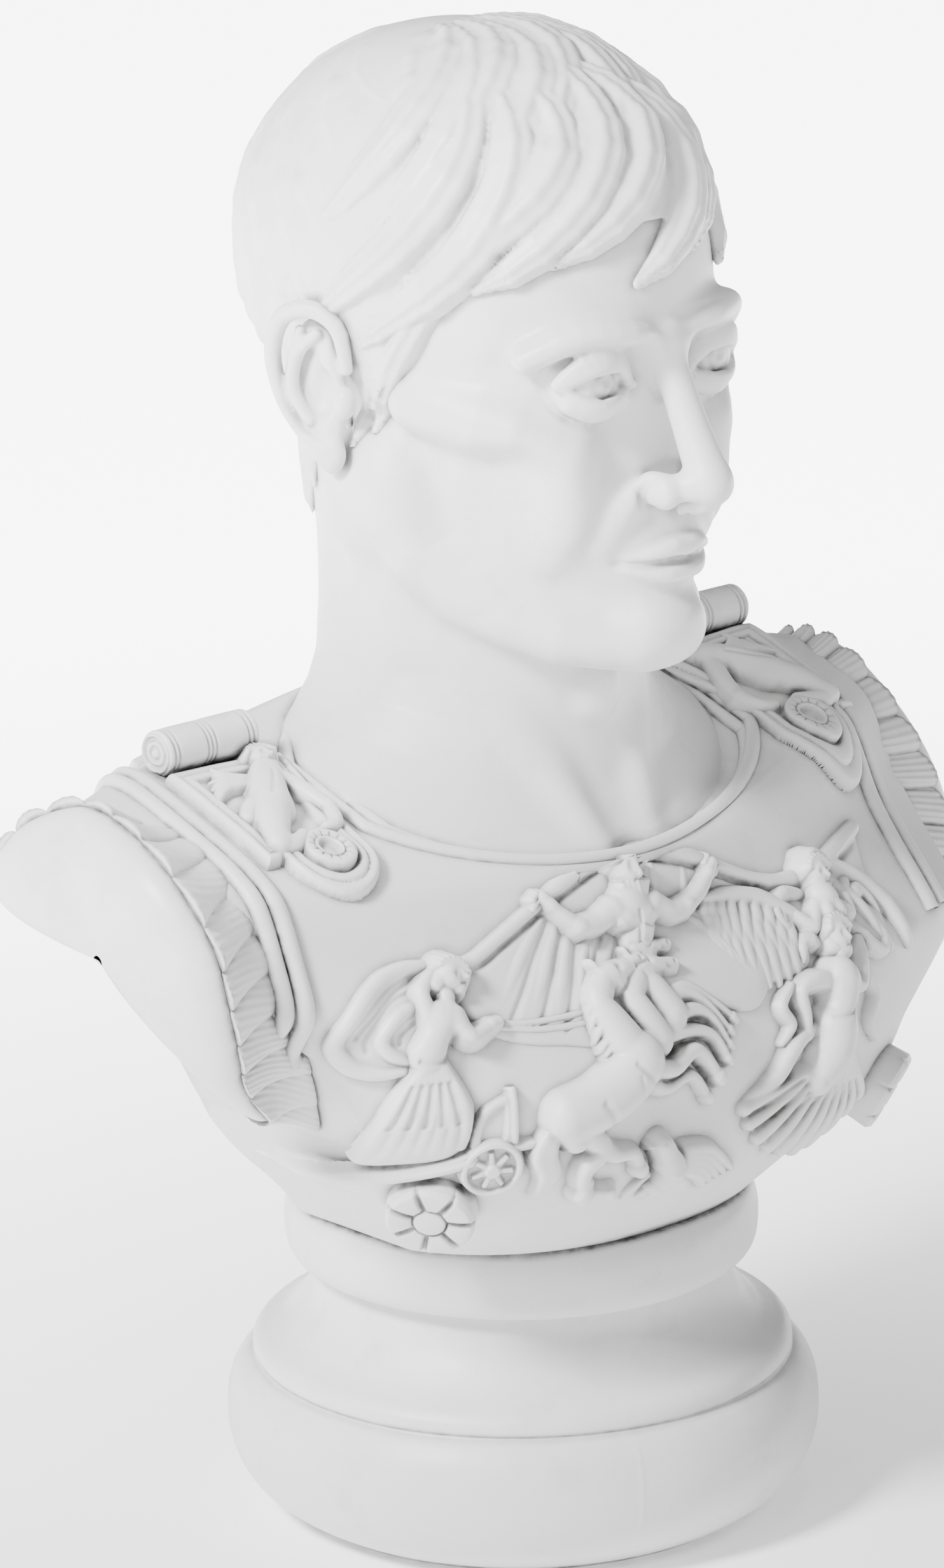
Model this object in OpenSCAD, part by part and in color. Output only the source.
// A classical cuirass bust on a turned socle. The subject faces -Y and its left is +X.
// The foot stands on z = 0, and all sizes are in millimetres.

/* [Socle] */
// Greatest radius of the foot's round bead
foot_r = 121; // [112:1:140]
// Height of the foot's round bead
foot_bead_h = 63; // [54:1:66]
// How far the foot's bead swells beyond its flat underside
foot_swell = 30; // [20:1:34]
// Radius of the step over the foot's bead
fillet_r = 103; // [98:1:106]
// Level of that step's top
fillet_top = 73; // [70:1:78]
// Radius of the narrow waist
scotia_r = 84; // [78:1:90]
// Greatest radius of the upper bead
cap_r = 96; // [92:1:106]
// Height of the upper bead
cap_bead_h = 33; // [26:1:36]
// Height of the whole socle
socle_h = 134; // [126:1:160]

/* [Torso] */
// Reach of the shoulders to each side of the axis
shoulder_r = 250; // [220:1:300]
// Reach of the chest in front of the axis
chest_front = 112; // [100:1:134]
// Reach of the back behind the axis
chest_back = 82; // [76:1:100]
// Height from the socle to the neckline at the side of the neck
torso_h = 149; // [135:1:179]
// Forward slope of the neckline in degrees
neckline_tilt = 24; // [18:1:28]
// Half width of the neckline
neckline_w = 98; // [90:1:106]
// Reach of the neckline in front of the axis
neckline_front = 67; // [62:1:74]

/* [Head and neck] */
// Height of the head from the chin to the top of the hair
head_h = 242; // [202:1:290]
// Half the width of the head with its hair
head_half_w = 87; // [76:1:104]
// Half the depth of the head with its hair
head_half_d = 111; // [98:1:130]
// Radius of the neck
neck_r = 61; // [54:1:66]
// Clear height between the neckline's level and the chin
neck_gap = 83; // [74:1:100]
// Turn of the head towards the subject's left in degrees
head_turn = 3; // [0:1:10]
// Thickness of the carved hair over the skull
hair_t = 8; // [6:0.5:10]

/* [Joint hardware] */
// Diameter of the threaded tie rod
rod_d = 12; // [8:1:16]
// Clearance between the rod and the socle's bore, on the radius
rod_clearance = 0.5; // [0.3:0.1:1]
// Length of rod that screws into the anchor
rod_grip = 40; // [24:1:50]
// Diameter of the threaded anchor cast into the torso
anchor_d = 24; // [20:1:34]
// Length of the anchor
anchor_l = 60; // [55:1:70]
// Width of the nut across its flats
nut_w = 19; // [19:1:24]
// Diameter of the washer
washer_d = 34; // [30:1:38]
// Diameter of the neck's tenon
tenon_d = 44; // [36:1:52]
// Length of the neck's tenon below the neckline's level
tenon_l = 46; // [36:1:56]
// Clearance round the tenon in its socket, on the radius
tenon_clearance = 0.4; // [0.2:0.1:1]
// Thickness of the felt under the foot
felt_t = 2; // [1:0.5:3]
// Thickness of the cement behind each applied ornament
glue = 0.3; // [0.2:0.1:0.6]

/* [Ornament] */
// Radius of the round edging at the neckline and the armholes
bead_r = 2.8; // [2:0.1:4]
// Radius of the rolls on the shoulders
roll_r = 8.5; // [6:0.5:11]
// Thickness of the plates on the shoulders
plate_t = 4; // [3:0.5:6]
// Radius of the rounded tip of each shoulder plate
plate_tip_r = 20; // [17:1:22]
// Radius of the round boss on each shoulder plate
boss_r = 10; // [8:0.5:12]
// Greatest height of the relief on the chest
relief_t = 11; // [7:0.5:13]
// Radius of the rosettes on the chest
rosette_r = 16; // [12:1:18]
// Number of petals on each rosette
petals = 7; // [5:1:9]
// Number of flutes in each sleeve
flutes = 10; // [8:1:12]

/* [Hidden] */
$fn = 96;
marble = [0.86, 0.86, 0.85];
steel = [0.62, 0.63, 0.65];
felt_green = [0.16, 0.24, 0.18];

// ---- levels and shared interface sizes ----
neckline_shift = 7;    // the neckline's middle lies this far to the subject's left
neckline_back = 68;   // reach of the neckline behind the centre line
neckline_z = socle_h + torso_h + neckline_front * tan(neckline_tilt); // its level over the centre line
back_slope = 0.6;     // share of the neckline's slope that goes on behind the centre line
chin_z = socle_h + torso_h + neck_gap;
crown_z = chin_z + head_h;
skull_y = 20;         // the skull sits this far behind the socle's axis
cut_margin = 1.07;    // an arm is cut where its section is this much wider than the cut

// ---- small helpers ----
function clamp(v, lo, hi) = max(lo, min(hi, v));
function mix(a, b, s) = a + (b - a) * s;
function unit(v) = v / norm(v);
function spline(a, b, c, d, s) =
    0.5 * (2 * b + (c - a) * s + (2 * a - 5 * b + 4 * c - d) * s * s + (3 * b - a - 3 * c + d) * s * s * s);
// A smooth table: row i of the table is reached at share i / (rows - 1).
function smooth_row(table, share) =
    let (last = len(table) - 1, p = clamp(share, 0, 1) * last, i = min(floor(p), last - 1))
    spline(table[max(i - 1, 0)], table[i], table[i + 1], table[min(i + 2, last)], p - i);

// ---- the torso's outer skin ----
// Each row is a horizontal section: level, right and left half widths, front and back depths,
// squareness, and forward tilt.
torso_table = let (s = socle_h, n = neckline_z, t = n - s, w = shoulder_r, f = chest_front, b = chest_back,
        right = neckline_w - neckline_shift, left = neckline_w + neckline_shift) [
    [s,             0.37 * w, 0.37 * w, 0.78 * f, 0.84 * b, 2.2, 0],
    [s + 0.095 * t, 0.43 * w, 0.46 * w, 0.91 * f, 0.80 * b, 2.3, 0],
    [s + 0.196 * t, 0.50 * w, 0.60 * w, 0.98 * f, 0.79 * b, 2.5, 0],
    [s + 0.313 * t, 0.56 * w, 0.66 * w, 1.00 * f, 0.82 * b, 2.6, 0],
    [s + 0.430 * t, 0.61 * w, 0.76 * w, 0.99 * f, 0.87 * b, 2.5, 1],
    [s + 0.548 * t, 0.66 * w, 0.87 * w, 0.95 * f, 0.93 * b, 2.3, 3],
    [s + 0.660 * t, 0.75 * w, 0.89 * w, 0.89 * f, 0.98 * b, 2.0, 8],
    [s + 0.766 * t, 0.89 * w, 0.86 * w, 0.82 * f, 1.00 * b, 1.8, 14],
    [s + 0.878 * t, 0.98 * w, 0.82 * w, 0.75 * f, 0.98 * b, 1.6, 20],
    [n,             0.97 * w, 0.78 * w, 0.69 * f, 0.93 * b, 1.45, neckline_tilt],
    [n + 5,         0.85 * w, 0.70 * w, 0.66 * f, 0.89 * b, 1.4, neckline_tilt + 1],
    [n + 5, 0.62 * w, 0.58 * w, mix(neckline_front, 0.66 * f, 0.6), 0.85 * b, 1.55, neckline_tilt + 1],
    [n + 3, mix(right, 0.6 * w, 0.25), mix(left, 0.56 * w, 0.25), neckline_front + 3, neckline_back + 1,
        1.8, neckline_tilt],
    [n, right, left, neckline_front, neckline_back, 2, neckline_tilt]];
function section(t) = smooth_row(torso_table, t);
function side_w(s, x) = x < 0 ? s[1] : s[2];
function depth_share(s, x) =
    pow(max(0, 1 - pow(min(1, abs(x) / (side_w(s, x) * cut_margin)), s[5])), 1 / s[5]);
function lift(s, y) = s[0] + tan(s[6]) * (y < 0 ? y : back_slope * y);
function skin_point(s, x, side) = let (y = side < 0 ? -s[3] * depth_share(s, x) : s[4] * depth_share(s, x))
    [x, y, lift(s, y)];

// ---- solids made from rings and sheets of points ----
function flat(l) = [for (a = l) for (b = a) b];
function reversed(l) = [for (i = [len(l) - 1:-1:0]) l[i]];
function centre(r) = let (n = len(r)) [for (k = [0:2]) [for (p = r) p[k]] * [for (p = r) 1] / n];

// A solid through closed rings, capped at both ends or closed into a hoop.
module loft(rings, hoop = false) {
    n = len(rings);
    m = len(rings[0]);
    points = concat(flat(rings), [centre(rings[0]), centre(rings[n - 1])]);
    sides = [for (i = [0:hoop ? n - 1 : n - 2], j = [0:m - 1])
        let (k = (j + 1) % m, a = i * m, b = ((i + 1) % n) * m)
        each [[a + j, b + j, b + k], [a + j, b + k, a + k]]];
    caps = [for (j = [0:m - 1]) let (k = (j + 1) % m) each [
        [n * m, j, k], [n * m + 1, (n - 1) * m + k, (n - 1) * m + j]]];
    polyhedron(hoop ? flat(rings) : points, hoop ? sides : concat(sides, caps), convexity = 8);
}

// A solid between two sheets of points. Columns run to the right and rows run up, seen from outside.
module slab(low, high) {
    n = len(low);
    m = len(low[0]);
    h = n * m;
    faces = [for (i = [0:n - 2], j = [0:m - 2])
        let (a = i * m + j, b = a + 1, c = b + m, d = a + m)
        each [[h + a, h + d, h + c], [h + a, h + c, h + b], [a, c, d], [a, b, c]]];
    ends = [for (j = [0:m - 2]) let (a = j, b = (n - 1) * m + j)
        each [[a, h + a, h + a + 1], [a, h + a + 1, a + 1], [b, h + b + 1, h + b], [b, b + 1, h + b + 1]]];
    edges = [for (i = [0:n - 2]) let (a = i * m, b = i * m + m - 1)
        each [[a, a + m, h + a + m], [a, h + a + m, h + a], [b, h + b + m, b + m], [b, h + b, h + b + m]]];
    polyhedron(concat(flat(low), flat(high)), concat(faces, ends, edges), convexity = 8);
}

// ---- places on the torso's skin ----
// The value between lo and hi at which past() turns true.
function turning(past, lo, hi, steps = 14) = steps == 0 ? (lo + hi) / 2
    : let (m = (lo + hi) / 2) past(m) ? turning(past, lo, m, steps - 1) : turning(past, m, hi, steps - 1);
chest_top = 0.72;    // the chest's front runs over this share of the torso's sections
armpit = 0.38;       // and the shoulders start at this one
chest = function (x, z)
    skin_point(section(turning(function (t) skin_point(section(t), x, -1)[2] > z, 0, chest_top)), x, -1);
over = function (x, y) let (
        crest = turning(function (t) side_w(section(t), x) < abs(x), 0.64, 1),
        s = section(crest),
        front = -s[3] * depth_share(s, x),
        back = s[4] * depth_share(s, x))
    y < front ?
    skin_point(section(turning(function (t) skin_point(section(t), x, -1)[1] > y, armpit, crest)), x, -1)
    : y > back ?
    skin_point(section(turning(function (t) skin_point(section(t), x, 1)[1] < y, armpit, crest)), x, 1)
    : [x, y, mix(lift(s, front), lift(s, back), (y - front) / (back - front))];
function outward(place, u, v) =
    let (e = 0.5) unit(cross(place(u + e, v) - place(u - e, v), place(u, v + e) - place(u, v - e)));
function raised(place, u, v, h) = place(u, v) + outward(place, u, v) * (glue + h);

// A sheet of relief: each spot is [across, along, height] on the skin that place describes.
module relief(place, spots, mirrored = false) {
    rows = [for (r = spots) mirrored ? reversed(r) : r];
    slab([for (r = rows) [for (s = r) raised(place, s[0], s[1], 0)]],
         [for (r = rows) [for (s = r) raised(place, s[0], s[1], s[2])]]);
}
// A raised figure along a spine of [across, along, half width, height]. Its middle stands highest.
figure_columns = 6;
standard_relief = 11;   // the greatest height that the figures are laid out for
module figure(place, spine, stations = 16) {
    rows = [for (i = [0:stations - 1]) smooth_row(spine, i / (stations - 1))];
    relief(place, [for (i = [0:stations - 1]) let (
            a = rows[max(i - 1, 0)], b = rows[min(i + 1, stations - 1)],
            along = unit([b[0] - a[0], b[1] - a[1]]), r = rows[i])
        [for (j = [0:figure_columns]) let (q = 2 * j / figure_columns - 1)
            [r[0] + along[1] * q * r[2], r[1] - along[0] * q * r[2],
                r[3] * relief_t / standard_relief * (0.15 + 0.85 * sqrt(1 - q * q))]]]);
}
// A round ornament: rings of [share of the radius, height], with petals scalloping its edge.
module medallion(place, x, v, r, profile, lobes = 0, scallop = 0) {
    sides = 28;
    hub = raised(place, x, v, 0);
    up = outward(place, x, v);
    across = unit(cross([0, 0, 1], up));
    along = cross(up, across);
    function ring(share, h) = [for (j = [0:sides - 1]) let (
            a = 360 * j / sides, q = r * share * (1 - scallop * abs(sin(a * lobes / 2))),
            p = across * q * cos(a) + along * q * sin(a))
        hub + p + up * h];
    loft([for (p = profile) ring(p[0], p[1])]);
}
// A half-round bead laid along points of [place, outward direction].
bead_sides = 6;
module bead(path, r, hoop = false) {
    n = len(path);
    function step(i) = hoop ? (i + n) % n : clamp(i, 0, n - 1);
    loft([for (i = [0:n - 1]) let (
            p = path[i][0], up = path[i][1],
            along = unit(path[step(i + 1)][0] - path[step(i - 1)][0]), across = cross(up, along))
        [for (k = [0:bead_sides]) let (a = 180 * k / bead_sides)
            p + up * (glue + r * sin(a)) + across * r * cos(a)]], hoop);
}

// ---- torso ----
arc_steps = 22;      // points on each of the front and back arcs of a torso section
ring_count = 34;     // sections in the torso
tenon_y = 6;         // the neck's tenon sits this far behind the socle's axis
tenon_root = 30;     // the tenon's root lies this far above the torso's top
function half_arc(s, from, to, side) =
    [for (i = [0:arc_steps]) skin_point(s, mix(from, to, 0.5 - 0.5 * cos(180 * i / arc_steps)), side)];
function torso_ring(t) = let (s = section(t))
    concat(half_arc(s, -s[1], s[2], -1), half_arc(s, s[2], -s[1], 1));
module torso() color(marble) difference() {
    loft([for (i = [0:ring_count - 1]) torso_ring(i / (ring_count - 1))]);
    translate([0, tenon_y, neckline_z - tenon_l - 1])
        cylinder(d = tenon_d + 2 * tenon_clearance, h = 2 * tenon_l);
    translate([0, 0, socle_h - 1]) cylinder(d = anchor_d, h = anchor_l + 1);
}

// ---- head, hair and ears ----
// Each row is a section of the neck or the skull: level, half width, front and back reach, squareness, tilt.
head_table = let (
        c = chin_z,
        h = head_h,
        w = head_half_w - hair_t,
        d = head_half_d - hair_t,
        n = neckline_z) [
    [n, neckline_w - 12, neckline_front - 7, neckline_back - 6, 2, neckline_tilt],
    [mix(n, c, 0.22), neckline_w - 20, neckline_front - 13, neckline_back + 3, 2, neckline_tilt - 5],
    [mix(n, c, 0.50), neck_r + 8, neck_r - 14, neck_r + 17, 2, 14],
    [mix(n, c, 0.75), neck_r + 2, neck_r - 16, neck_r + 20, 2, 6],
    [mix(n, c, 0.92), neck_r, neck_r - 12, neck_r + 23, 2, 2],
    [c + 0.02 * h, 0.70 * w, 0.78 * d - 12, 0.80 * d + 6, 2, 0],
    [c + 0.09 * h, 0.78 * w, 1.00 * d - skull_y, 0.82 * d + 8, 2.1, 0],
    [c + 0.22 * h, 0.86 * w, 1.03 * d - skull_y, 0.86 * d + 14, 2.1, 0],
    [c + 0.36 * h, 0.93 * w, 1.00 * d - skull_y, 0.94 * d + skull_y, 2.2, 0],
    [c + 0.50 * h, 0.97 * w, 0.97 * d - skull_y, 1.00 * d + skull_y, 2.2, 0],
    [c + 0.63 * h, 1.00 * w, 0.99 * d - skull_y, 1.01 * d + skull_y, 2.2, 0],
    [c + 0.76 * h, 0.97 * w, 0.93 * d - skull_y, 0.98 * d + skull_y, 2.1, 0],
    [c + 0.87 * h, 0.80 * w, 0.72 * d - skull_y, 0.84 * d + skull_y, 2, 0],
    [c + 0.94 * h, 0.52 * w, 0.42 * d - skull_y, 0.58 * d + skull_y, 2, 0],
    [c + h - hair_t, 0.05 * w, 5 - skull_y, 5 + skull_y, 2, 0]];
head_sides = 36;
head_rings = 28;
// A point of a head section at angle a, with the head turned and its skin grown outwards.
function head_point(s, a, grow = 0) = let (
        e = 2 / s[4],
        x = (s[1] + grow) * sign(cos(a)) * pow(abs(cos(a)), e),
        y = (sin(a) < 0 ? s[2] + grow : s[3] + grow) * sign(sin(a)) * pow(abs(sin(a)), e),
        turn = head_turn * clamp((s[0] - neckline_z) / neck_gap, 0, 1))
    [x * cos(turn) - y * sin(turn), x * sin(turn) + y * cos(turn),
     s[0] + tan(s[5]) * (y < 0 ? y : back_slope * y)];
function head_section(z) =
    smooth_row(head_table, turning(function (t) smooth_row(head_table, t)[0] > z, 0.3, 1));
module head() color(marble) {
    loft([for (i = [0:head_rings]) let (s = smooth_row(head_table, i / head_rings))
        [for (j = [0:head_sides - 1]) head_point(s, 360 * j / head_sides)]]);
    translate([0, tenon_y, neckline_z - tenon_l]) cylinder(d = tenon_d, h = tenon_l + tenon_root);
}

// The hair's lower edge as a share of the head's height, from the forehead round to the nape.
hairline = [for (h = [0.735, 0.72, 0.66, 0.50, 0.60, 0.33, 0.18, 0.14, 0.12]) [h]];
hair_rings = 12;
hair_gap = 0.8;      // the cement under the hair, with room for the head's curve between the rings
module hair() {
    top = crown_z - hair_t;
    function rim(a) = chin_z + head_h * smooth_row(hairline, abs(((a - 270) + 540) % 360 - 180) / 180)[0];
    function lock(a, share, grow) = let (z = mix(rim(a), top, share))
        head_point(head_section(z), a, grow) + [0, 0, grow * pow(share, 3)];
    function ring(share, grow) = [for (j = [0:head_sides - 1]) lock(360 * j / head_sides, share, grow)];
    color(marble) loft(concat(
        [for (i = [0:hair_rings]) ring(cos(90 * i / hair_rings), hair_gap)],
        [for (i = [0:hair_rings])
            ring(sin(90 * i / hair_rings), hair_t * mix(0.45, 1, min(1, 3 * i / hair_rings)))]));
}

// The ear's rings: share of its size, and distance out from the head.
ear_profile = [[0.55, 0], [0.65, 0.35], [1, 0.75], [0.98, 1], [0.75, 0.92]];
ear_angle = 5;       // the ear sits this far behind the skull's widest line, in degrees
ear_h = 54;
ear_w = 31;
ear_t = 13;
module ear(side) color(marble) {
    s = head_section(chin_z + 0.465 * head_h);
    root = head_point(s, side > 0 ? ear_angle : 180 - ear_angle);
    sides = 24;
    loft([for (p = ear_profile) let (x = root[0] + side * (glue + 1 + ear_t * p[1]))
        [for (j = [0:sides - 1]) let (a = -side * 360 * j / sides)
            [x, root[1] + 6 * p[1] + ear_w / 2 * p[0] * cos(a), root[2] + ear_h / 2 * p[0] * sin(a)]]]);
}

// ---- socle and its fastenings ----
washer_t = 2.5;
nut_h = 10;
rod_end = 4;          // the rod stands out of the nut by this much
nut_recess_h = 24;
nut_recess_r = washer_d / 2 + 3;
thread_gap = 0.1;     // clearance of the threads, on the radius
washer_z = felt_t + nut_recess_h - washer_t;
nut_z = washer_z - nut_h;
function arc(x, z, r, from, to, steps = 24) =
    [for (i = [0:steps]) let (a = mix(from, to, i / steps)) [x + r * cos(a), z + r * sin(a)]];
// A quarter of a swelling bead: wide, then turning in. A squareness of 2 is an ellipse.
function swell(x, z, w, h, squareness, from, to) = [for (i = [0:12]) let (a = mix(from, to, i / 12))
    [x + w * pow(cos(a), 2 / squareness), z + h * pow(abs(sin(a)), 2 / squareness)]];
module socle() color(marble) {
    foot_middle = 0.52 * foot_bead_h;
    foot_flat_r = foot_r - foot_swell;
    foot_crown_w = 0.65 * foot_swell;
    cap_bead_r = cap_bead_h / 2;
    waist_z = socle_h - cap_bead_h - 3;
    lip = fillet_r - 4;
    rotate_extrude() difference() {
        polygon(concat(
            [[0, felt_t]],
            swell(foot_flat_r, foot_middle, foot_swell, felt_t - foot_middle, 2, 89, 0),
            swell(foot_r - foot_crown_w, foot_middle, foot_crown_w, foot_bead_h - foot_middle, 2.8, 3, 76),
            [[fillet_r + 2, foot_bead_h + 1]],
            arc(lip, fillet_top - 4, 4, -30, 90, 10),
            [for (a = [10:10:90])
                [mix(lip, scotia_r, sin(a)), mix(fillet_top, waist_z, 1 - cos(a))]],
            arc(cap_r - cap_bead_r, socle_h - cap_bead_r, cap_bead_r, -65, 90),
            [[0, socle_h]]));
        square([rod_d / 2 + rod_clearance, socle_h + 1]);
        square([nut_recess_r, felt_t + nut_recess_h]);
    }
}
module felt_disc() color(felt_green) cylinder(r = foot_r - foot_swell - 2, h = felt_t);
module tie_rod() color(steel)
    translate([0, 0, nut_z - rod_end]) cylinder(d = rod_d, h = socle_h + rod_grip - nut_z + rod_end);
module tie_nut() color(steel) translate([0, 0, nut_z]) difference() {
    cylinder(d = nut_w / cos(30), h = nut_h, $fn = 6);
    translate([0, 0, -1]) cylinder(r = rod_d / 2 + thread_gap, h = nut_h + 2);
}
module tie_washer() color(steel) translate([0, 0, washer_z]) difference() {
    cylinder(d = washer_d, h = washer_t);
    translate([0, 0, -1]) cylinder(r = rod_d / 2 + rod_clearance, h = washer_t + 2);
}
module anchor_socket() color(steel) translate([0, 0, socle_h]) difference() {
    cylinder(d = anchor_d, h = anchor_l);
    translate([0, 0, -1]) cylinder(r = rod_d / 2 + thread_gap, h = rod_grip + 5);
}

// ---- round edging ----
neck_stations = 26;
function rim_point(t, a) = let (s = section(t), q = 0.5 - 0.5 * cos(a % 180))
    a < 180 ? skin_point(s, mix(-s[1], s[2], q), -1) : skin_point(s, mix(s[2], -s[1], q), 1);
module neckline_bead(t) color(marble)
    bead([for (i = [0:2 * neck_stations - 1]) let (a = 180 * i / neck_stations, e = 2, dt = 0.02)
        [rim_point(t, a), unit(cross(rim_point(t, min(a + e, 360)) - rim_point(t, max(a - e, 0)),
            rim_point(t, a) - rim_point(t - dt, a)))]], bead_r, hoop = true);
// Each armhole's edging runs up the chest, over the shoulder and down the back.
armhole_low = 0.24;      // share of the sections at which its front and back ends start
trim_x = [0.69, 0.62];   // its place on the right and left, as shares of the shoulders' reach
arm_stations = 16;
trim_share = 0.97;       // the trim stays this share of the section's half width from the axis, or nearer
function trim_at(t, side) =
    side * min(trim_x[side < 0 ? 0 : 1] * shoulder_r, trim_share * side_w(section(t), side));
function crest(side) =
    turning(function (t) side_w(section(t), side) < abs(trim_at(0.6, side)) / trim_share, 0.64, 1);
function trim_point(t, side, face, dx = 0) = skin_point(section(t), trim_at(t, side) + dx, face);
module armhole_bead(side) {
    top = crest(side);
    function spot(t, face) = [trim_point(t, side, face), unit(cross(
        trim_point(t, side, face, 1) - trim_point(t, side, face, -1),
        trim_point(t + 0.01, side, face) - trim_point(t - 0.01, side, face))) * -face];
    rise = [for (i = [0:arm_stations]) spot(mix(armhole_low, top, i / arm_stations), -1)];
    fall = [for (i = [0:arm_stations]) spot(mix(top, armhole_low, i / arm_stations), 1)];
    color(marble) bead(concat(rise, fall), bead_r * 1.3);
}

// ---- sleeves: fluted cloth between the armhole's edging and the arm's cut ----
sleeve_base = 1.5;
sleeve_ridge = 3;
module sleeve_pleats(side) color(marble) {
    per_flute = 4;
    rows = flutes * per_flute;
    place = function (x, v) skin_point(section(v / 100), x, -1);
    relief(place, [for (i = [0:rows]) let (
            t = mix(0.40, 0.70, i / rows),
            h = sleeve_base + sleeve_ridge * pow(abs(sin(180 * i / per_flute)), 0.6),
            near = trim_at(t, side) + side * (1.3 * bead_r + 1),
            far = side * max(side_w(section(t), side) - 1.5, abs(near) + 3))
        [for (j = [0:3]) [mix(near, far, j / 3), 100 * t, h]]], side < 0);
}

// ---- shoulder straps: plate, roll, figure and boss ----
roll_y = 33;                         // the roll lies this far behind the axis
plate_inner = neckline_w + neckline_shift + 2 * bead_r + 2;
plate_outer = trim_x[1] * shoulder_r + 4;
boss_x = plate_inner + plate_tip_r + 1;
boss_y = -29;
plate_front = -31;                   // the plate's square corner ends here, and its round tip goes on
module shoulder_plate(side) color(marble) {
    back = roll_y - roll_r - 1;
    straight = [for (y = [back, 8, -10, -22, plate_front]) [plate_inner, plate_outer, y]];
    tip = [for (a = [4:14:88]) let (w = plate_tip_r * cos(a))
        [boss_x - w, min(boss_x + w, plate_outer), boss_y - plate_tip_r * sin(a) - 1.5]];
    relief(over, [for (r = concat(reversed(tip), reversed(straight)))
        [for (j = [0:5]) [side * mix(r[0], r[1], j / 5), r[2], plate_t]]], side < 0);
}
module shoulder_roll(side) color(marble) {
    z = max([for (x = [plate_inner:6:plate_outer]) over(side * x, roll_y)[2]]) + roll_r + glue;
    l = plate_outer - plate_inner;
    groove = 0.8;
    translate([side * plate_inner, roll_y, z]) rotate([0, side * 90, 0]) rotate_extrude()
        polygon([[0, 0], [roll_r, 0], for (q = [0.1, 0.4, 0.5, 0.9])
            each [[roll_r, l * q], [roll_r - groove, l * q + groove], [roll_r, l * q + 2 * groove]],
            [roll_r, l], [0, l]]);
}
plate_face = function (x, y) raised(over, x, y, plate_t);
module shoulder_figure(side) color(marble)
    figure(plate_face, [for (p = [[9, -24, 4, 3], [17, -18, 8, 6], [22, -8, 9, 8], [17, 4, 7, 7],
            [11, 12, 7, 8], [8, 19, 4, 4]])
        [side * (plate_inner + 4 + p[0]), p[1] + 1, p[2], p[3]]], 12);
module shoulder_boss(side) color(marble)
    medallion(plate_face, side * boss_x, boss_y - 7, boss_r, [[1, 0], [1, 2.5], [0.6, 4],
            [0.55, 2.5], [0.2, 2.5]]);
// Behind each roll the strap goes on down the back. Places there are told by the share of the sections.
back = function (x, v) skin_point(section(1 - v / 100), x, 1);
module back_strap(side) color(marble)
    relief(back, [for (v = [29:4:49])
        [for (j = [0:4]) [side * mix(plate_inner + 4, plate_outer - 4, j / 4), v, plate_t * 0.7]]], side < 0);

// ---- the relief on the chest ----
// It is laid out for a standard torso, and it grows and shrinks with the real one.
standard_w = 250;
standard_h = 149;
art = function (x, v) chest(x * shoulder_r / standard_w, socle_h + v * torso_h / standard_h);
module rosette(side) color(marble)
    medallion(art, side * 114, 32, rosette_r,
        [[1, 0], [1, 2], [0.85, 4], [0.5, 4.5], [0.45, 3.2], [0.38, 5], [0.1, 5.5]], petals, 0.08);
module sky_canopy() color(marble) {
    arch = [[-148, 112], [-132, 125], [-111, 127], [-94, 125], [-76, 131], [-54, 137], [-39, 141], [-20, 143],
        [8, 143], [26, 138], [42, 130], [55, 123], [71, 121], [92, 123], [111, 125], [128, 128]];
    relief(art, [for (k = [0:4]) [for (i = [0:27]) let (p = smooth_row(arch, i / 27))
        [p[0], p[1] - 4 * (4 - k), relief_t * mix(0.1, 0.35, sin(45 * k))]]]);
}
module sky_figure() color(marble)
    figure(art, [[-19, 114, 9, 6], [-18, 120, 12, 9], [-17, 127, 14, 10], [-16, 134, 7, 8],
            [-15, 140, 7, 9], [-14, 143, 3, 4]]);
module charioteer() color(marble)
    figure(art, [[-130, 52, 13, 5], [-128, 70, 16, 8], [-125, 88, 13, 9], [-121, 101, 7, 7],
            [-115, 110, 9, 9], [-107, 120, 6, 9], [-104, 127, 2, 4]]);
module charioteer_cloak() color(marble)
    figure(art, [[-136, 97, 3, 3], [-146, 99, 4, 4], [-153, 107, 5, 4], [-150, 114, 5, 4],
            [-142, 120, 5, 4], [-134, 120, 4, 3]]);
module chariot_body() color(marble)
    figure(art, [[-137, 45, 4, 3], [-126, 48, 5, 4], [-118, 51, 5, 4]], 8);
module chariot_wheel() color(marble)
    medallion(art, -103, 52, 10, [[1, 0], [1, 4], [0.8, 4.5], [0.75, 2.5], [0.35, 2.5], [0.3, 4.5],
            [0.1, 4.5]]);
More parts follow.
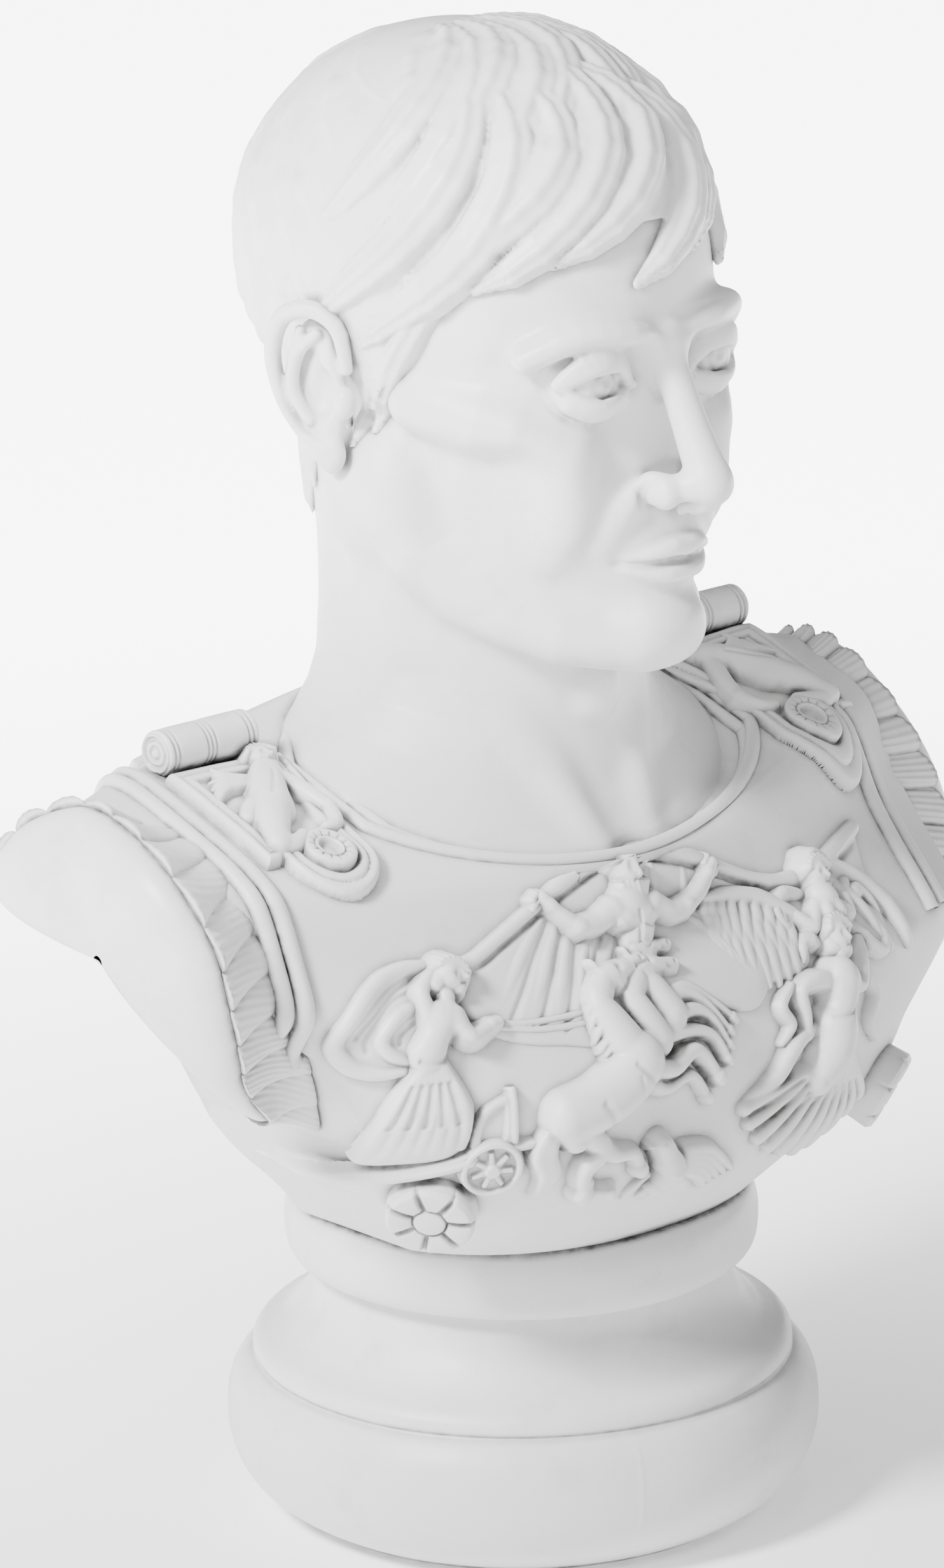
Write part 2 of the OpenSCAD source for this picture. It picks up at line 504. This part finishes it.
module horses() color(marble)
    figure(art, [[-80, 50, 3, 4], [-80, 62, 8, 7], [-68, 71, 12, 10], [-50, 76, 13, 11],
            [-41, 86, 12, 11], [-44, 98, 9, 10], [-36, 108, 8, 11], [-22, 112, 7, 10],
            [-10, 110, 4, 6]], 24);
module reins() color(marble)
    figure(art, [[-92, 105, 1.2, 2], [-78, 102, 1.5, 2], [-64, 99, 1.2, 2]], 8);
module dove() color(marble)
    figure(art, [[-21, 23, 3, 3], [-24, 31, 7, 7], [-27, 40, 7, 8], [-30, 48, 5, 7], [-31, 53, 2, 3]]);
module torch_bearer() color(marble)
    figure(art, [[84, 97, 7, 6], [84, 103, 9, 9], [86, 110, 7, 9], [88, 117, 6, 9], [89, 121, 2, 4]], 12);
module winged_figure() color(marble)
    figure(art, [[50, 38, 20, 4], [60, 50, 16, 7], [68, 64, 11, 9], [72, 76, 9, 10], [76, 86, 9, 10],
            [79, 93, 2, 5]]);
module wing() color(marble)
    figure(art, [[60, 98, 8, 5], [45, 104, 11, 5], [30, 110, 10, 4], [18, 115, 5, 3]], 12);

felt_disc();
socle();
tie_rod();
tie_nut();
tie_washer();
anchor_socket();
torso();
head();
hair();
ear(-1);  // ear_right
ear(1);  // ear_left
neckline_bead(0.95);  // neckline_bead_outer
neckline_bead(0.99);  // neckline_bead_inner
armhole_bead(-1);  // armhole_bead_right
armhole_bead(1);  // armhole_bead_left
sleeve_pleats(-1);  // sleeve_pleats_right
sleeve_pleats(1);  // sleeve_pleats_left
shoulder_plate(-1);  // shoulder_plate_right
shoulder_plate(1);  // shoulder_plate_left
shoulder_roll(-1);  // shoulder_roll_right
shoulder_roll(1);  // shoulder_roll_left
shoulder_figure(-1);  // shoulder_figure_right
shoulder_figure(1);  // shoulder_figure_left
shoulder_boss(-1);  // shoulder_boss_right
shoulder_boss(1);  // shoulder_boss_left
back_strap(-1);  // back_strap_right
back_strap(1);  // back_strap_left
rosette(-1);  // chest_rosette_right
rosette(1);  // chest_rosette_left
sky_canopy();
sky_figure();
charioteer();
charioteer_cloak();
chariot_body();
chariot_wheel();
horses();
reins();
dove();
torch_bearer();
winged_figure();
wing();
